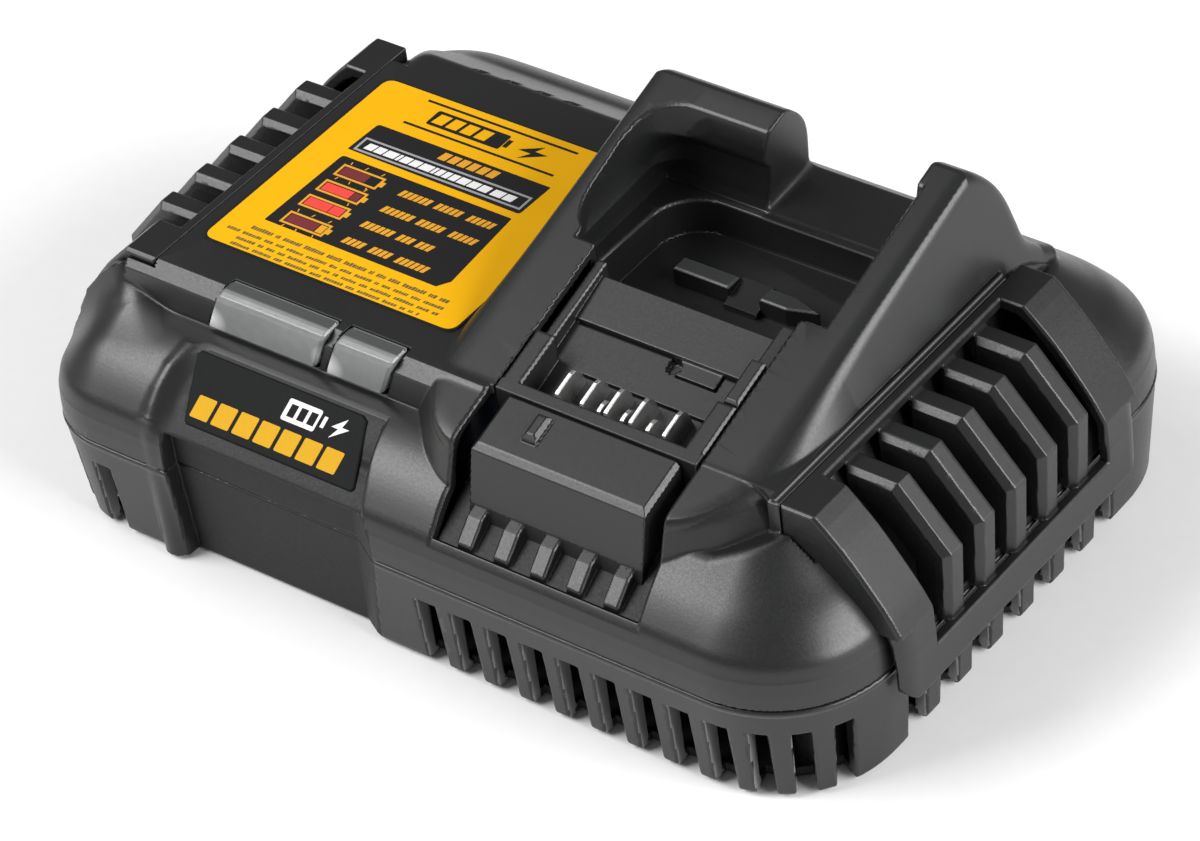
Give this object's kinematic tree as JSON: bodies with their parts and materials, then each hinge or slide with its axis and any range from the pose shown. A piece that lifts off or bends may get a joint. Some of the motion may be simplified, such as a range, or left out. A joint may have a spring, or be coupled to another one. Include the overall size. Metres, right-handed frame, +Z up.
{
  "type": "power tool battery charger",
  "caption": "Table or wall battery charger: slotted two-shell housing with an inclined slide-in bay, contact blades, side louvres, status lenses and a cooling fan inside.",
  "frame": {"origin": "centre of the footprint on the table", "axes": "+X along the front to the right, -Y is the front, +Z up"},
  "size_m": [0.19, 0.1272, 0.0747],
  "materials": {
    "housing": "fine textured charcoal",
    "black_plastic": "satin black",
    "label": "printed yellow film",
    "badge": "semi-gloss black",
    "lens": "frosted clear",
    "board": "solder mask green",
    "led": "diffused",
    "blade": "tin plated",
    "ferrite": "ferrite and tape",
    "copper": "enamelled wire",
    "sleeve": "shrink sleeve",
    "aluminium": "extruded",
    "glass": "clear",
    "steel": "zinc plated",
    "rubber": "moulded",
    "lead": "insulated"
  },
  "bodies": {
    "charger": {"lower_shell": "housing", "upper_shell": "housing", "side_cover_right": "housing", "side_cover_left": "housing", "deck_label": "label", "front_badge": "badge", "lens_large": "lens", "lens_small": "lens", "led_board": "board", "status_leds": "led", "terminal_block": "black_plastic", "power_blades": "blade", "signal_blades": "blade", "bay_ramp": "black_plastic", "latch_catches": "black_plastic", "circuit_board": "board", "transformer": "ferrite", "filter_choke": "copper", "bulk_capacitors": "sleeve", "heat_sink": "aluminium", "power_transistors": "black_plastic", "mains_fuse": "glass", "fan_frame": "black_plastic", "fan_screws": "steel", "case_screws": "steel", "rubber_feet": "rubber", "cord_inlet": "rubber", "terminal_leads": "lead"},
    "rotor": {"fan_rotor": "black_plastic"}
  },
  "joints": [
    {"name": "fan_spin", "type": "hinge", "parent": "charger", "child": "rotor", "pos_m": [-0.066, 0.004, 0.024], "axis": [1, 0, 0], "continuous": true}
  ]
}
